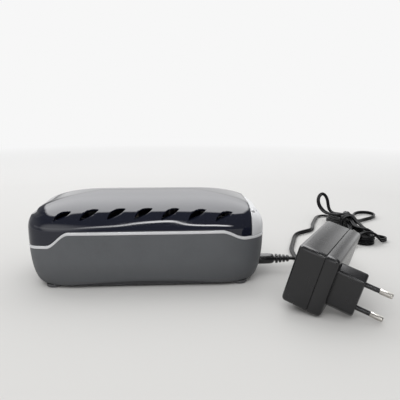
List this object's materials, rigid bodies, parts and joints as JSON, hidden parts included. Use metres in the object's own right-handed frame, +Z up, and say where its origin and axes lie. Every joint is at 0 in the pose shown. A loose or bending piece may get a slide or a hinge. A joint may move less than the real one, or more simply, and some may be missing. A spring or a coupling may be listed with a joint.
{
  "type": "battery charger",
  "caption": "Oval desk charger for round cells: hinged domed lid with curved vents, spring-loaded cell bays, and a plug-in mains adapter on a tied lead.",
  "frame": {"origin": "on the table under the middle of the charger body", "axes": "+X along the body towards the hinge and the power inlet, +Y to the back, +Z up"},
  "size_m": [0.3931, 0.3199, 0.0746],
  "materials": {
    "shell": "fine-grained dark grey moulding",
    "base": "dark moulding",
    "silver": "smooth silver-lacquered moulding",
    "lid": "polished near-black moulding",
    "soft": "dull black",
    "steel": "plain steel",
    "nickel": "bright nickel plate",
    "slider": "dull dark moulding",
    "spring": "spring wire",
    "light": "clear light pipe",
    "board": "lacquered circuit board",
    "adapter_board": "plain circuit board",
    "copper": "enamelled copper winding",
    "component": "moulded component bodies",
    "fins": "plain aluminium",
    "iron": "stacked iron laminations",
    "adapter": "fine-grained black moulding",
    "lead": "soft black insulation"
  },
  "bodies": {
    "base": {"outer_shell": "shell", "base_plate": "base", "trim_rim": "silver", "end_cap": "silver", "cell_tray": "base", "bay_troughs": "base", "hinge_pin": "steel", "foot_1": "soft", "foot_2": "soft", "foot_3": "soft", "foot_4": "soft", "slider_spring_1": "spring", "slider_spring_2": "spring", "slider_spring_3": "spring", "slider_spring_4": "spring", "fixed_contact_1": "nickel", "fixed_contact_2": "nickel", "fixed_contact_3": "nickel", "fixed_contact_4": "nickel", "status_light_1": "light", "status_light_2": "light", "status_light_3": "light", "status_light_4": "light", "circuit_board": "board", "power_coil": "copper", "capacitors": "component", "control_chips": "component", "heat_sink": "fins", "inlet_socket": "component", "case_screws": "steel", "plug_body": "adapter", "plug_barrel": "nickel", "lead_run": "lead", "lead_loop_1": "lead", "lead_loop_2": "lead", "lead_loop_3": "lead", "lead_hank": "lead", "lead_tail": "lead", "adapter_rear_case": "adapter", "adapter_front_case": "adapter", "mains_pin_1": "nickel", "mains_pin_2": "nickel", "pin_sleeve_1": "adapter", "pin_sleeve_2": "adapter", "transformer_core": "iron", "transformer_winding": "copper", "adapter_board": "adapter_board", "adapter_parts": "component", "adapter_strain_relief": "adapter"},
    "lid": {"lid": "lid"},
    "slider_1": {"cell_slider_1": "slider", "slider_contact_1": "nickel"},
    "slider_2": {"cell_slider_2": "slider", "slider_contact_2": "nickel"},
    "slider_3": {"cell_slider_3": "slider", "slider_contact_3": "nickel"},
    "slider_4": {"cell_slider_4": "slider", "slider_contact_4": "nickel"}
  },
  "joints": [
    {"name": "lid_hinge", "type": "hinge", "parent": "base", "child": "lid", "pos_m": [0.0886, 0, 0.0595], "axis": [0, 1, 0], "range_deg": [0, 95]},
    {"name": "slider_travel_1", "type": "slide", "parent": "base", "child": "slider_1", "axis": [0, -1, 0], "range_m": [0, 0.0183], "stiffness_N_per_m": 120, "springref_m": -0.02, "deforming": ["slider_spring_1"]},
    {"name": "slider_travel_2", "type": "slide", "parent": "base", "child": "slider_2", "axis": [0, -1, 0], "range_m": [0, 0.0183], "stiffness_N_per_m": 120, "springref_m": -0.02, "deforming": ["slider_spring_2"]},
    {"name": "slider_travel_3", "type": "slide", "parent": "base", "child": "slider_3", "axis": [0, -1, 0], "range_m": [0, 0.0183], "stiffness_N_per_m": 120, "springref_m": -0.02, "deforming": ["slider_spring_3"]},
    {"name": "slider_travel_4", "type": "slide", "parent": "base", "child": "slider_4", "axis": [0, -1, 0], "range_m": [0, 0.0183], "stiffness_N_per_m": 120, "springref_m": -0.02, "deforming": ["slider_spring_4"]}
  ]
}
